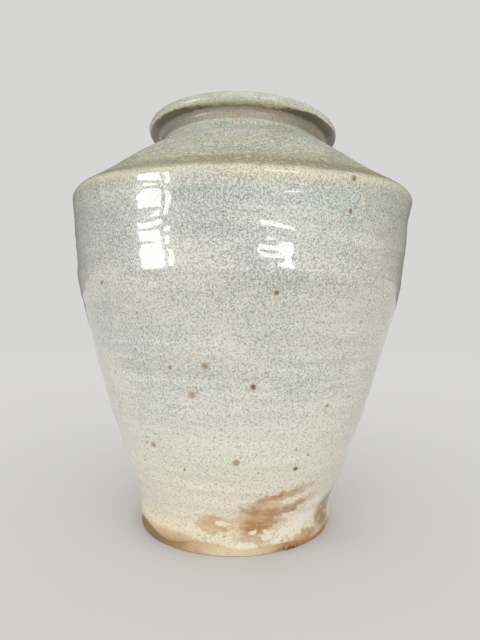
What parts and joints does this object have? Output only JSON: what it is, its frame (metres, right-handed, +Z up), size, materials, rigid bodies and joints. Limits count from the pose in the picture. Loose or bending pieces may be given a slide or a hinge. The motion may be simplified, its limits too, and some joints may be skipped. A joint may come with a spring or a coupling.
{
  "type": "stoneware vase",
  "caption": "Broad-shouldered stoneware vase with a short neck and rolled lip, speckled pale glaze and a bare clay foot.",
  "frame": {"origin": "middle of the pot's bounding box, on the surface that it stands on", "axes": "+Z up, +X towards the side the pot leans to, -Y the side seen from the front"},
  "size_m": [0.2116, 0.2116, 0.2511],
  "materials": {
    "bare_clay": "unglazed fired stoneware, tan to orange, matt",
    "wall_glaze": "glossy pale grey glaze, dense dark iron speckle, brown iron spots",
    "shoulder_glaze": "grey-green ash glaze, pitted and speckled, ochre towards the edge",
    "lip_glaze": "pale celadon grey glaze, rust where it thins on the neck",
    "liner_glaze": "thin grey-beige liner glaze, satin"
  },
  "bodies": {
    "root": {"foot_ring": "bare_clay", "base_floor": "bare_clay", "lower_wall": "bare_clay", "upper_wall": "bare_clay", "shoulder": "bare_clay", "neck_collar": "bare_clay", "rolled_lip": "bare_clay", "wall_glaze": "wall_glaze", "shoulder_glaze": "shoulder_glaze", "lip_glaze": "lip_glaze", "liner_glaze": "liner_glaze"}
  },
  "joints": []
}
